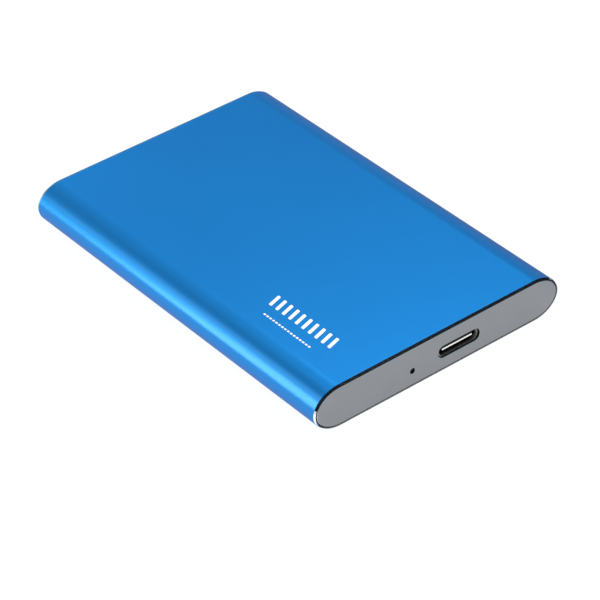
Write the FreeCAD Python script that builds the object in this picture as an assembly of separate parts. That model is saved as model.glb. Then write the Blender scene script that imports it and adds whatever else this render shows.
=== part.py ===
"""A pocket solid state drive, in millimetres.

An extruded aluminium sleeve with oval sides is closed at both ends by thin plates. Inside, a moulded tray
carries a bridge board with the data port, and a flash card plugs into a socket on that board.
The origin is the middle of the underside, +Z is up, and the port faces -Y.
"""

import FreeCAD
import Part

import math
import os

Vector = FreeCAD.Vector

# Sleeve: flat top and bottom, sides that are half ellipses, a bright cut edge round each end
SLEEVE_LENGTH = 80.06
SLEEVE_WIDTH = 54.0
SLEEVE_THICK = 8.4
SIDE_REACH = 5.44
WALL = 1.0
EDGE_SETBACK = 0.4
EDGE_INSET = 0.15
LAND = 0.05

# End plates, sunk a little into the ends of the sleeve, with a shadow gap round them, on a narrow step
PLATE_T = 0.4
PLATE_SINK = 0.03
PLATE_GAP = 0.27
PLATE_EDGE = 0.04
PLATE_SEAT = 0.52

# Adhesive sheets behind the plates
TAPE_T = 0.15
TAPE_INSET = 0.3

# Screws that hold the tray and the retainer to the ribs of the sleeve
SCREW_R = 0.8
SCREW_HEAD_R = 1.3
SCREW_HEAD_T = 0.7
SCREW_REACH = 6.0
SCREW_PASS = 0.1
THREAD_PLAY = 0.03
CROSS_W = 0.35
CROSS_SPAN = 1.5
CROSS_DEPTH = 0.4
RIB_R = 1.7
RIB_PLAY = 0.2

# Tray, one moulding with the front flange
FLANGE_T = 1.6
FLANGE_GAP = 0.10
TRAY_INSET = 0.26
TRAY_FLOOR = 0.5
TRAY_WALL = 0.9
TRAY_WALL_H = 3.4
TRAY_END_GAP = 0.15
WINDOW_BAR = 4.0
WINDOW_COLUMNS = 2
WINDOW_ROWS = 2
WINDOW_CORNER = 1.5
HOOK_LENGTH = 5.0
HOOK_REACH = 0.5
HOOK_HEIGHT = 1.2
HOOK_SLIT = 0.6
HOOK_PLAY = 0.1

# Retainer lugs that hold the rear of the board down
LUG_SPACING = 31.0
LUG_W = 4.0
LUG_T = 1.2
LUG_LAP = 1.6
LUG_PLAY = 0.1

# Bridge board
BOARD_T = 0.8
BOARD_GAP = 0.2
BOARD_FRONT_GAP = 0.3
BOARD_CORNER = 1.2

# Data port, a drawn steel shell round a flat tongue with contacts on both faces
PORT_X = 4.38
PORT_OPEN_W = 8.34
PORT_OPEN_H = 2.56
PORT_SHELL_T = 0.3
PORT_LENGTH = 7.9
PORT_DEPTH = 6.2
PORT_BEHIND = 0.03
PORT_PASS = 0.15
PLUG_W = 8.25
PLUG_H = 2.4
SLOT_SIDE_ROOM = 0.55
SLOT_TOP_ROOM = 0.05
SLOT_EDGE = 0.05
LEG_T = 0.3
LEG_W = 1.1
LEG_INSET = 4.4
LEG_SPACING = 2.3
LEG_PLAY = 0.1
TONGUE_W = 6.69
TONGUE_T = 0.7
TONGUE_RECESS = 0.18
TONGUE_TIP = 0.19
COLLAR_T = 1.5
COLLAR_LENGTH = 1.0
CONTACT_COUNT = 12
CONTACT_PITCH = 0.5
CONTACT_W = 0.25
CONTACT_T = 0.1
CONTACT_PROUD = 0.02
CONTACT_START = 0.5
CONTACT_EXIT = 0.5
FOOT_LENGTH = 0.7
FOOT_STEP = 1.1

# Status light and the smoked rod that carries it to the plate, with a nose that fills the plate's hole
LIGHT_X = -5.97
LIGHT_RISE = 0.98
LIGHT_HOLE_R = 0.55
LIGHT_HOLE_EDGE = 0.04
LAMP_W = 1.6
LAMP_D = 0.8
LAMP_H = 1.6
ROD_R = 0.6
ROD_PLAY = 0.05
ROD_FOOT_W = 2.2
ROD_FOOT_D = 0.8
ROD_BEHIND = 0.05
NOSE_SINK = 0.25

# Card socket on the board, with spring contacts that run up its front and along under its roof
SOCKET_SIDE = 0.8
SOCKET_DEPTH = 5.6
SOCKET_SLOT = 4.2
SOCKET_ROOF = 0.8
CARD_PLAY = 0.1
TAIL_COUNT = 20
TAIL_W = 0.25
TAIL_T = 0.15
TAIL_LENGTH = 0.9
TAIL_PLAY = 0.05
GROOVE_DEPTH = 0.5
SPRING_BACK = 1.2
SPRING_CURL = 0.5

# Flash card
CARD_W = 22.0
CARD_LENGTH = 30.0
CARD_T = 0.8
CARD_RISE = 1.1
CARD_INSERT = 4.0
KEY_W = 1.2
KEY_DEPTH = 3.5
KEY_SPACING = 12.0
NOTCH_R = 1.75

# Standoff and screw at the rear of the card
STANDOFF_INSET = 3.4
STANDOFF_R = 2.6
STANDOFF_SPIGOT_R = 1.5
SPIGOT_PLAY = 0.05
CARD_SCREW_R = 1.0
CARD_SCREW_HEAD_R = 2.25
CARD_SCREW_HEAD_T = 0.6
CARD_SCREW_REACH = 2.2

# Chips on the card, all one height, under a soft pad that reaches the top of the sleeve
CARD_CHIP_T = 1.0
CHIP_GAP = 1.0
CONTROLLER_SIZE = 7.0
FLASH_W = 13.0
PAD_SIDE = 1.0
CHIP_EDGE = 0.12

# Parts of the bridge circuit, in one row across the board
BRIDGE_X = 0.0
BRIDGE_SIZE = 6.0
BRIDGE_T = 0.85
FIRMWARE_W = 4.0
FIRMWARE_D = 5.0
FIRMWARE_T = 0.75
CRYSTAL_W = 2.5
CRYSTAL_D = 3.2
CRYSTAL_T = 0.7
COIL_SIZE = 3.0
COIL_T = 1.2
COIL_CORNER = 0.6
PART_GAP = 1.2
CAPACITOR_W = 0.8
CAPACITOR_D = 1.6
CAPACITOR_T = 0.8
CAPACITOR_PITCH = 1.6
CAPACITOR_COUNT = 4
GUARD_W = 2.5
GUARD_D = 1.0
GUARD_T = 0.5
GUARD_GAP = 0.6

# Places that follow from the sizes above
FRONT = -SLEEVE_LENGTH / 2
REAR = SLEEVE_LENGTH / 2
MIDDLE_Z = SLEEVE_THICK / 2
PLATE_LIP = EDGE_INSET + LAND
FLANGE_LIP = PLATE_LIP + PLATE_SEAT
PLATE_DEPTH = PLATE_SINK + PLATE_T
FLANGE_DEPTH = PLATE_DEPTH + TAPE_T
POCKET = FLANGE_DEPTH + FLANGE_T
PLATE_INSET = PLATE_LIP + PLATE_GAP
FLANGE_INSET = FLANGE_LIP + FLANGE_GAP
FLANGE_BACK = FRONT + POCKET
TRAY_HALF = SLEEVE_WIDTH / 2 - SIDE_REACH - TRAY_INSET
RIB_X = TRAY_HALF + RIB_PLAY + RIB_R
FLOOR_TOP = WALL + TRAY_FLOOR
TRAY_REAR = REAR - POCKET - TRAY_END_GAP
BOARD_HALF = TRAY_HALF - TRAY_WALL - BOARD_GAP
BOARD_FRONT = FLANGE_BACK + BOARD_FRONT_GAP
BOARD_REAR = TRAY_REAR - TRAY_WALL - BOARD_GAP
BOARD_TOP = FLOOR_TOP + BOARD_T
SHELL_W = PORT_OPEN_W + 2 * PORT_SHELL_T
SHELL_H = PORT_OPEN_H + 2 * PORT_SHELL_T
PORT_Z = BOARD_TOP + SHELL_H / 2
PORT_FRONT = FRONT + PLATE_DEPTH + PORT_BEHIND
PORT_REAR = PORT_FRONT + PORT_LENGTH
LIGHT_Z = BOARD_TOP + LIGHT_RISE
STANDOFF_Y = BOARD_REAR - STANDOFF_INSET
CARD_FRONT = STANDOFF_Y - CARD_LENGTH
CARD_BOTTOM = BOARD_TOP + CARD_RISE
CARD_TOP = CARD_BOTTOM + CARD_T
SOCKET_MOUTH = CARD_FRONT + CARD_INSERT
SOCKET_FRONT = SOCKET_MOUTH - SOCKET_DEPTH
SOCKET_HALF = CARD_W / 2 + CARD_PLAY + SOCKET_SIDE
CONTROLLER_Y = SOCKET_MOUTH + CHIP_GAP + CONTROLLER_SIZE / 2
FLASH_FRONT = CONTROLLER_Y + CONTROLLER_SIZE / 2 + CHIP_GAP
FLASH_REAR = STANDOFF_Y - CARD_SCREW_HEAD_R - CHIP_GAP
CHIP_TOP = CARD_TOP + CARD_CHIP_T
SLOT_ROOF = CARD_TOP + CARD_PLAY
CIRCUIT_Y = (PORT_REAR + 2 * FOOT_STEP + SOCKET_FRONT - TAIL_LENGTH) / 2
FIRMWARE_X = BRIDGE_X - BRIDGE_SIZE / 2 - PART_GAP - FIRMWARE_W / 2
CRYSTAL_X = BRIDGE_X + BRIDGE_SIZE / 2 + PART_GAP + CRYSTAL_W / 2
COIL_X = CRYSTAL_X + CRYSTAL_W / 2 + PART_GAP + COIL_SIZE / 2

# Two directions closer than this count as one
SAME = 1e-6


def box(x0, x1, y0, y1, z0, z1):
    """A block between two corners."""
    return Part.makeBox(x1 - x0, y1 - y0, z1 - z0, Vector(x0, y0, z0))


def rod_along_y(x, z, radius, y0, y1):
    """A round bar along the drive."""
    return Part.makeCylinder(radius, y1 - y0, Vector(x, y0, z), Vector(0, 1, 0))


def side_arc(reach, half_height):
    """Half an ellipse in the XY plane that bulges towards +X, from its lowest point to its highest."""
    quarter = math.pi / 2
    centre = Vector(0, 0, 0)
    if reach >= half_height:
        ellipse = Part.Ellipse(Vector(reach, 0, 0), Vector(0, half_height, 0), centre)
        return Part.ArcOfEllipse(ellipse, -quarter, quarter).toShape()
    ellipse = Part.Ellipse(Vector(0, half_height, 0), Vector(-reach, 0, 0), centre)
    return Part.ArcOfEllipse(ellipse, -2 * quarter, 0).toShape()


def section(y, inset):
    """The sleeve's outline at y, drawn in by inset all round."""
    shoulder = SLEEVE_WIDTH / 2 - SIDE_REACH
    half_height = SLEEVE_THICK / 2 - inset
    right = side_arc(SIDE_REACH - inset, half_height)
    left = right.mirror(Vector(0, 0, 0), Vector(1, 0, 0))
    right.translate(Vector(shoulder, 0, 0))
    left.translate(Vector(-shoulder, 0, 0))
    bottom = Part.makeLine(Vector(-shoulder, -half_height, 0), Vector(shoulder, -half_height, 0))
    top = Part.makeLine(Vector(shoulder, half_height, 0), Vector(-shoulder, half_height, 0))
    wire = Part.Wire([bottom, right, top, left])
    wire.rotate(Vector(0, 0, 0), Vector(1, 0, 0), 90)
    wire.translate(Vector(0, y, MIDDLE_Z))
    return wire


def oval_prism(inset, y0, y1):
    """A solid with the sleeve's outline, drawn in by inset, between two stations."""
    return Part.Face(section(y0, inset)).extrude(Vector(0, y1 - y0, 0))


def slot_wire(x, z, width, height, y):
    """A round-ended slot across X, drawn at y."""
    radius = height / 2
    run = width / 2 - radius
    corners = [Vector(x - run, y, z - radius), Vector(x + run, y, z - radius)]
    corners += [Vector(x + run, y, z + radius), Vector(x - run, y, z + radius)]
    bottom = Part.makeLine(corners[0], corners[1])
    right = Part.Arc(corners[1], Vector(x + run + radius, y, z), corners[2]).toShape()
    top = Part.makeLine(corners[2], corners[3])
    left = Part.Arc(corners[3], Vector(x - run - radius, y, z), corners[0]).toShape()
    return Part.Wire([bottom, right, top, left])


def slot_prism(x, z, width, height, y0, y1):
    """A round-ended bar along the drive."""
    return Part.Face(slot_wire(x, z, width, height, y0)).extrude(Vector(0, y1 - y0, 0))


def strip(points, x, width):
    """A flat outline in the YZ plane, given a width across X that is centred on x."""
    outline = Part.makePolygon([Vector(x - width / 2, y, z) for y, z in points + points[:1]])
    return Part.Face(outline).extrude(Vector(width, 0, 0))


def beside(path, distance):
    """A path of (y, z) points moved sideways by distance, with mitred corners."""
    points = [Vector(0, y, z) for y, z in path]
    steps = [(last - first).normalize() for first, last in zip(points, points[1:])]
    sideways = [Vector(0, -step.z, step.y) for step in steps]
    moved = [points[0] + sideways[0] * distance]
    for point, before, after in zip(points[1:], sideways, sideways[1:]):
        mitre = before + after
        moved.append(point + mitre * (2 * distance / mitre.dot(mitre)))
    moved.append(points[-1] + sideways[-1] * distance)
    return [(point.y, point.z) for point in moved]


def bent_strip(path, thickness, x, width):
    """A metal strip of even thickness, bent along a path of (y, z) points."""
    return strip(beside(path, thickness / 2) + beside(path, -thickness / 2)[::-1], x, width)


def is_upright(edge):
    """True for a straight edge that runs along Z."""
    return edge.tangentAt(edge.FirstParameter).isParallel(Vector(0, 0, 1), SAME)


def rounded_slab(x0, x1, y0, y1, z0, z1, corner):
    """A slab with its four upright corners rounded."""
    slab = box(x0, x1, y0, y1, z0, z1)
    return slab.makeFillet(corner, [edge for edge in slab.Edges if is_upright(edge)])


def chip(x, y, z, width, depth, height):
    """A moulded chip package, with its top edges eased."""
    body = box(x - width / 2, x + width / 2, y - depth / 2, y + depth / 2, z, z + height)
    top = [e for e in body.Edges if min(v.Point.z for v in e.Vertexes) > z + height / 2]
    return body.makeChamfer(CHIP_EDGE, top)


def cross_screw(radius, head_radius, head_height, reach):
    """A screw along Z with its head up, its seat at the origin and a cross cut in the head."""
    shank = Part.makeCylinder(radius, reach, Vector(0, 0, -reach))
    head = Part.makeCylinder(head_radius, head_height)
    floor = head_height - CROSS_DEPTH
    long_cut = box(-CROSS_SPAN / 2, CROSS_SPAN / 2, -CROSS_W / 2, CROSS_W / 2, floor, head_height)
    cross_cut = box(-CROSS_W / 2, CROSS_W / 2, -CROSS_SPAN / 2, CROSS_SPAN / 2, floor, head_height)
    return shank.fuse(head).cut([long_cut, cross_cut]).removeSplitter()


def make_sleeve():
    """The extrusion, with a screw rib in each side, a stepped pocket at each end and the bright cut edges."""
    stations = [(FRONT, EDGE_INSET), (FRONT + EDGE_SETBACK, 0), (REAR - EDGE_SETBACK, 0), (REAR, EDGE_INSET)]
    outside = Part.makeLoft([section(y, inset) for y, inset in stations], True, True)
    hollow = oval_prism(WALL, FRONT, REAR)
    holes = []
    for side in (-1, 1):
        near, far = sorted((side * RIB_X, side * SLEEVE_WIDTH))
        web = box(near, far, FRONT, REAR, MIDDLE_Z - RIB_R, MIDDLE_Z + RIB_R)
        nose = rod_along_y(side * RIB_X, MIDDLE_Z, RIB_R, FRONT, REAR)
        hollow = hollow.cut(web.fuse(nose))
        holes.append(rod_along_y(side * RIB_X, MIDDLE_Z, SCREW_R + THREAD_PLAY, FRONT, REAR))
    pockets = []
    for inset, depth in ((PLATE_LIP, PLATE_DEPTH), (FLANGE_LIP, POCKET)):
        pockets.append(oval_prism(inset, FRONT, FRONT + depth))
        pockets.append(oval_prism(inset, REAR - depth, REAR))
    return outside.cut([hollow] + holes + pockets).removeSplitter()


def blank_plate(face_y, inward):
    """An end plate with an eased front edge. Inward is +1 at the front of the drive and -1 at the rear."""
    stations = [(0, PLATE_INSET + PLATE_EDGE), (PLATE_EDGE, PLATE_INSET), (PLATE_T, PLATE_INSET)]
    wires = [section(face_y + inward * depth, inset) for depth, inset in stations]
    return Part.makeLoft(wires, True, True)


def make_front_plate():
    """The front plate, with an eased slot for the plug and a small hole for the light."""
    slot_w = PLUG_W + 2 * SLOT_SIDE_ROOM
    slot_h = PLUG_H + 2 * SLOT_TOP_ROOM
    face = FRONT + PLATE_SINK
    back = FRONT + PLATE_DEPTH
    slot = slot_prism(PORT_X, PORT_Z, slot_w, slot_h, face, back)
    wide = slot_wire(PORT_X, PORT_Z, slot_w + 2 * SLOT_EDGE, slot_h + 2 * SLOT_EDGE, face)
    narrow = slot_wire(PORT_X, PORT_Z, slot_w, slot_h, face + SLOT_EDGE)
    slot_edge = Part.makeLoft([wide, narrow], True, True)
    hole = rod_along_y(LIGHT_X, LIGHT_Z, LIGHT_HOLE_R, face, back)
    rim = LIGHT_HOLE_R + LIGHT_HOLE_EDGE
    mouth = Vector(LIGHT_X, face, LIGHT_Z)
    hole_edge = Part.makeCone(rim, LIGHT_HOLE_R, LIGHT_HOLE_EDGE, mouth, Vector(0, 1, 0))
    return blank_plate(face, 1).cut([slot, slot_edge, hole, hole_edge])


def port_passage(y0, y1):
    """The room that the port's shell needs through the tape and the flange."""
    return slot_prism(PORT_X, PORT_Z, SHELL_W + 2 * PORT_PASS, SHELL_H + 2 * PORT_PASS, y0, y1)


def light_passage(y0, y1):
    """The hole that the smoked rod fits."""
    return rod_along_y(LIGHT_X, LIGHT_Z, ROD_R + ROD_PLAY, y0, y1)


def make_front_tape():
    """The adhesive sheet between the front plate and the tray's flange."""
    y0, y1 = FRONT + PLATE_DEPTH, FRONT + FLANGE_DEPTH
    sheet = oval_prism(FLANGE_INSET + TAPE_INSET, y0, y1)
    return sheet.cut([port_passage(y0, y1), light_passage(y0, y1)])


def make_rear_tape():
    """The adhesive sheet between the rear plate and the retainer."""
    return oval_prism(FLANGE_INSET + TAPE_INSET, REAR - FLANGE_DEPTH, REAR - PLATE_DEPTH)


def screw_seats(outer_y, inward):
    """Counterbored screw holes through a flange whose outer face is at outer_y."""
    cuts = []
    for side in (-1, 1):
        for radius, depth in ((SCREW_HEAD_R + SCREW_PASS, SCREW_HEAD_T), (SCREW_R + SCREW_PASS, FLANGE_T)):
            y0, y1 = sorted((outer_y, outer_y + inward * depth))
            cuts.append(rod_along_y(side * RIB_X, MIDDLE_Z, radius, y0, y1))
    return cuts


def tray_windows():
    """Openings in the tray's floor, in columns and rows between bars of one width."""
    width = (2 * (TRAY_HALF - TRAY_WALL) - (WINDOW_COLUMNS + 1) * WINDOW_BAR) / WINDOW_COLUMNS
    depth = (TRAY_REAR - FLANGE_BACK - (WINDOW_ROWS + 1) * WINDOW_BAR) / WINDOW_ROWS
    windows = []
    for column in range(WINDOW_COLUMNS):
        x = -(TRAY_HALF - TRAY_WALL) + WINDOW_BAR + column * (width + WINDOW_BAR)
        for row in range(WINDOW_ROWS):
            y = FLANGE_BACK + WINDOW_BAR + row * (depth + WINDOW_BAR)
            windows.append(rounded_slab(x, x + width, y, y + depth, WALL, FLOOR_TOP, WINDOW_CORNER))
    return windows


def board_hooks():
    """Snap hooks in the tray's side walls: the solids to add, and the slits beside them to cut."""
    nibs, slits = [], []
    under = BOARD_TOP + HOOK_PLAY
    wall_top = FLOOR_TOP + TRAY_WALL_H
    quarter = (BOARD_REAR - BOARD_FRONT) / 4
    middle = (BOARD_REAR + BOARD_FRONT) / 2
    for side in (-1, 1):
        face = side * (TRAY_HALF - TRAY_WALL)
        tip = face - side * (BOARD_GAP + HOOK_REACH)
        for y in (middle - quarter, middle + quarter):
            y0, y1 = y - HOOK_LENGTH / 2, y + HOOK_LENGTH / 2
            corners = [Vector(face, y0, under), Vector(tip, y0, under), Vector(face, y0, under + HOOK_HEIGHT)]
            nibs.append(Part.Face(Part.makePolygon(corners + corners[:1])).extrude(Vector(0, y1 - y0, 0)))
            x0, x1 = sorted((face, side * TRAY_HALF))
            for start in (y0 - HOOK_SLIT, y1):
                slits.append(box(x0, x1, start, start + HOOK_SLIT, BOARD_TOP, wall_top))
    return nibs, slits


def make_tray():
    """The moulded tray: front flange, windowed floor, side walls with snap hooks and a low rear wall."""
    outer_y = FRONT + FLANGE_DEPTH
    wall_top = FLOOR_TOP + TRAY_WALL_H
    flange = oval_prism(FLANGE_INSET, outer_y, FLANGE_BACK)
    floor = box(-TRAY_HALF, TRAY_HALF, FLANGE_BACK, TRAY_REAR, WALL, FLOOR_TOP)
    inner = TRAY_HALF - TRAY_WALL
    walls = [box(-TRAY_HALF, -inner, FLANGE_BACK, TRAY_REAR, WALL, wall_top)]
    walls.append(box(inner, TRAY_HALF, FLANGE_BACK, TRAY_REAR, WALL, wall_top))
    walls.append(box(-TRAY_HALF, TRAY_HALF, TRAY_REAR - TRAY_WALL, TRAY_REAR, WALL, BOARD_TOP))
    nibs, slits = board_hooks()
    cuts = screw_seats(outer_y, 1) + tray_windows() + slits
    cuts += [port_passage(outer_y, FLANGE_BACK), light_passage(outer_y, FLANGE_BACK)]
    return flange.fuse([floor] + walls).cut(cuts).fuse(nibs).removeSplitter()


def make_retainer():
    """The rear flange, with two lugs that reach over the rear edge of the board."""
    outer_y = REAR - FLANGE_DEPTH
    inner_y = outer_y - FLANGE_T
    body = oval_prism(FLANGE_INSET, inner_y, outer_y).cut(screw_seats(outer_y, -1))
    low = BOARD_TOP + LUG_PLAY
    lugs = []
    for side in (-1, 1):
        x = side * LUG_SPACING / 2
        lugs.append(box(x - LUG_W / 2, x + LUG_W / 2, BOARD_REAR - LUG_LAP, inner_y, low, low + LUG_T))
    return body.fuse(lugs).removeSplitter()


def end_screws(outer_y, inward):
    """The two screws of one end, seated in the flange and run into the ribs."""
    screws = []
    for side in (-1, 1):
        screw = cross_screw(SCREW_R, SCREW_HEAD_R, SCREW_HEAD_T, SCREW_REACH)
        screw.rotate(Vector(0, 0, 0), Vector(1, 0, 0), 90 * inward)
        screw.translate(Vector(side * RIB_X, outer_y + inward * SCREW_HEAD_T, MIDDLE_Z))
        screws.append(screw)
    return Part.makeCompound(screws)


def leg_boxes(play):
    """The four legs of the port's shell, grown by play for the holes that they pass through."""
    legs = []
    for side in (-1, 1):
        outer = PORT_X + side * SHELL_W / 2
        x0, x1 = sorted((outer - side * LEG_T, outer))
        for y in (PORT_FRONT + LEG_INSET, PORT_FRONT + LEG_INSET + LEG_SPACING):
            reach = LEG_W / 2 + play
            legs.append(box(x0 - play, x1 + play, y - reach, y + reach, FLOOR_TOP, PORT_Z))
    return legs


def make_board():
    """The bridge board, drilled for the port's legs and the standoff."""
    board = rounded_slab(-BOARD_HALF, BOARD_HALF, BOARD_FRONT, BOARD_REAR, FLOOR_TOP, BOARD_TOP, BOARD_CORNER)
    hole = Part.makeCylinder(STANDOFF_SPIGOT_R + SPIGOT_PLAY, BOARD_T, Vector(0, STANDOFF_Y, FLOOR_TOP))
    return board.cut([hole] + leg_boxes(LEG_PLAY))


def make_port_shell():
    """The drawn steel shell of the port, open at both ends, with four legs through the board."""
    outside = slot_prism(PORT_X, PORT_Z, SHELL_W, SHELL_H, PORT_FRONT, PORT_REAR)
    opening = slot_prism(PORT_X, PORT_Z, PORT_OPEN_W, PORT_OPEN_H, PORT_FRONT, PORT_REAR)
    return outside.fuse(leg_boxes(0)).cut(opening).removeSplitter()


def contact_row(side):
    """The contacts of one face of the tongue: along it, out of the back, and down to feet on the board.

    Side is +1 for the upper face and -1 for the lower one. The feet of the upper row lie further back.
    """
    height = PORT_Z + side * (TONGUE_T / 2 + CONTACT_PROUD - CONTACT_T / 2)
    start = PORT_FRONT + TONGUE_RECESS + CONTACT_START
    bend = PORT_REAR + CONTACT_EXIT + max(side, 0) * FOOT_STEP
    foot = BOARD_TOP + CONTACT_T / 2
    path = [(start, height), (bend, height), (bend, foot), (bend + FOOT_LENGTH, foot)]
    places = [i - (CONTACT_COUNT - 1) / 2 for i in range(CONTACT_COUNT)]
    return [bent_strip(path, CONTACT_T, PORT_X + i * CONTACT_PITCH, CONTACT_W) for i in places]


def make_port_tongue():
    """The moulded insulator: a plug in the back of the shell, a collar and the grooved tongue."""
    back_wall = PORT_FRONT + PORT_DEPTH
    tip = PORT_FRONT + TONGUE_RECESS
    plug = slot_prism(PORT_X, PORT_Z, PORT_OPEN_W, PORT_OPEN_H, back_wall, PORT_REAR)
    low, high = PORT_Z - TONGUE_T / 2, PORT_Z + TONGUE_T / 2
    eased = tip + TONGUE_TIP
    outline = [(back_wall, low), (eased, low), (tip, low + TONGUE_TIP)]
    outline += [(tip, high - TONGUE_TIP), (eased, high), (back_wall, high)]
    tongue = strip(outline, PORT_X, TONGUE_W)
    step = back_wall - COLLAR_LENGTH
    low, high = PORT_Z - COLLAR_T / 2, PORT_Z + COLLAR_T / 2
    collar = strip([(step, low), (step, high), (back_wall, high), (back_wall, low)], PORT_X, TONGUE_W)
    return plug.fuse([tongue, collar]).removeSplitter().cut(contact_row(1) + contact_row(-1))


def make_lamp():
    """The status light, a small side-looking lamp on the board behind the rod."""
    front = BOARD_FRONT + ROD_FOOT_D + ROD_PLAY
    half = LAMP_W / 2
    return box(LIGHT_X - half, LIGHT_X + half, front, front + LAMP_D, BOARD_TOP, BOARD_TOP + LAMP_H)


def make_light_rod():
    """The smoked rod from the lamp to the plate, with a foot on the board and a nose in the plate's hole."""
    foot_back = BOARD_FRONT + ROD_FOOT_D
    half = ROD_FOOT_W / 2
    foot = box(LIGHT_X - half, LIGHT_X + half, BOARD_FRONT, foot_back, BOARD_TOP, LIGHT_Z + ROD_R)
    shoulder = FRONT + PLATE_DEPTH + ROD_BEHIND
    rod = rod_along_y(LIGHT_X, LIGHT_Z, ROD_R, shoulder, foot_back)
    nose = rod_along_y(LIGHT_X, LIGHT_Z, LIGHT_HOLE_R - ROD_PLAY, FRONT + PLATE_SINK + NOSE_SINK, shoulder)
    return rod.fuse([nose, foot]).removeSplitter()


def tail_places():
    """Where the socket's contacts stand across the board."""
    pitch = 2 * (SOCKET_HALF - SOCKET_SIDE) / TAIL_COUNT
    return [(i - (TAIL_COUNT - 1) / 2) * pitch for i in range(TAIL_COUNT)]


def make_socket():
    """The card socket's housing: a slot for the card's edge, and a groove for each contact."""
    body = box(-SOCKET_HALF, SOCKET_HALF, SOCKET_FRONT, SOCKET_MOUTH, BOARD_TOP, SLOT_ROOF + SOCKET_ROOF)
    half = CARD_W / 2 + CARD_PLAY
    cuts = [box(-half, half, SOCKET_MOUTH - SOCKET_SLOT, SOCKET_MOUTH, CARD_BOTTOM - CARD_PLAY, SLOT_ROOF)]
    groove_end = SOCKET_MOUTH - SPRING_BACK + SPRING_CURL + TAIL_T
    channel_end = SOCKET_FRONT + GROOVE_DEPTH
    roof = SLOT_ROOF + GROOVE_DEPTH
    groove = [(SOCKET_FRONT, BOARD_TOP), (channel_end, BOARD_TOP), (channel_end, SLOT_ROOF)]
    groove += [(groove_end, SLOT_ROOF), (groove_end, roof), (SOCKET_FRONT, roof)]
    cuts += [strip(groove, x, TAIL_W + 2 * TAIL_PLAY) for x in tail_places()]
    return body.cut(cuts).removeSplitter()


def make_socket_tails():
    """The socket's spring contacts: a solder tail, a riser, and a spring that curls up off the card."""
    foot = BOARD_TOP + TAIL_T / 2
    riser = SOCKET_FRONT + GROOVE_DEPTH / 2
    beam = SLOT_ROOF + GROOVE_DEPTH / 2
    touch = SOCKET_MOUTH - SPRING_BACK
    path = [(SOCKET_FRONT - TAIL_LENGTH, foot), (riser, foot), (riser, beam)]
    path += [(touch, CARD_TOP + TAIL_T), (touch + SPRING_CURL, beam)]
    return Part.makeCompound([bent_strip(path, TAIL_T, x, TAIL_W) for x in tail_places()])


def make_card():
    """The flash card's board, with two key slots in its front edge and a half-round notch at the rear."""
    card = box(-CARD_W / 2, CARD_W / 2, CARD_FRONT, STANDOFF_Y, CARD_BOTTOM, CARD_TOP)
    cuts = [Part.makeCylinder(NOTCH_R, CARD_T, Vector(0, STANDOFF_Y, CARD_BOTTOM))]
    key_end = CARD_FRONT + KEY_DEPTH
    for side in (-1, 1):
        x0, x1 = side * KEY_SPACING / 2 - KEY_W / 2, side * KEY_SPACING / 2 + KEY_W / 2
        cuts.append(box(x0, x1, CARD_FRONT, key_end, CARD_BOTTOM, CARD_TOP))
    return card.cut(cuts)


def make_standoff():
    """The turned brass standoff, soldered into the board and tapped for the card's screw."""
    body = Part.makeCylinder(STANDOFF_R, CARD_RISE, Vector(0, STANDOFF_Y, BOARD_TOP))
    spigot = Part.makeCylinder(STANDOFF_SPIGOT_R, BOARD_T, Vector(0, STANDOFF_Y, FLOOR_TOP))
    tapped = CARD_SCREW_R + THREAD_PLAY
    hole = Part.makeCylinder(tapped, CARD_RISE + BOARD_T, Vector(0, STANDOFF_Y, FLOOR_TOP))
    return body.fuse(spigot).cut(hole).removeSplitter()


def make_card_screw():
    """The screw whose head laps the card's notch."""
    screw = cross_screw(CARD_SCREW_R, CARD_SCREW_HEAD_R, CARD_SCREW_HEAD_T, CARD_SCREW_REACH)
    screw.translate(Vector(0, STANDOFF_Y, CARD_TOP))
    return screw


def make_flash():
    """The flash memory package, as long as the room behind the controller."""
    middle = (FLASH_FRONT + FLASH_REAR) / 2
    return chip(0, middle, CARD_TOP, FLASH_W, FLASH_REAR - FLASH_FRONT, CARD_CHIP_T)


def make_pad():
    """The soft heat pad that fills the space from the chips to the top of the sleeve."""
    half = FLASH_W / 2 + PAD_SIDE
    front = CONTROLLER_Y - CONTROLLER_SIZE / 2
    return box(-half, half, front, FLASH_REAR, CHIP_TOP, SLEEVE_THICK - WALL)


def make_coil():
    """The power inductor, a block of pressed iron powder with rounded corners."""
    half = COIL_SIZE / 2
    y0, y1 = CIRCUIT_Y - half, CIRCUIT_Y + half
    return rounded_slab(COIL_X - half, COIL_X + half, y0, y1, BOARD_TOP, BOARD_TOP + COIL_T, COIL_CORNER)


def make_capacitors():
    """Two rows of ceramic capacitors, one on each side of the bridge chip."""
    parts = []
    for side in (-1, 1):
        y = CIRCUIT_Y + side * (BRIDGE_SIZE / 2 + PART_GAP + CAPACITOR_D / 2)
        for i in range(CAPACITOR_COUNT):
            x = BRIDGE_X + (i - (CAPACITOR_COUNT - 1) / 2) * CAPACITOR_PITCH
            x0, x1 = x - CAPACITOR_W / 2, x + CAPACITOR_W / 2
            y0, y1 = y - CAPACITOR_D / 2, y + CAPACITOR_D / 2
            parts.append(box(x0, x1, y0, y1, BOARD_TOP, BOARD_TOP + CAPACITOR_T))
    return Part.makeCompound(parts)


def make_port_guard():
    """The surge guard, a small chip beside the port."""
    x = PORT_X + SHELL_W / 2 + GUARD_GAP + GUARD_W / 2
    return chip(x, PORT_REAR, BOARD_TOP, GUARD_W, GUARD_D, GUARD_T)


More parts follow.
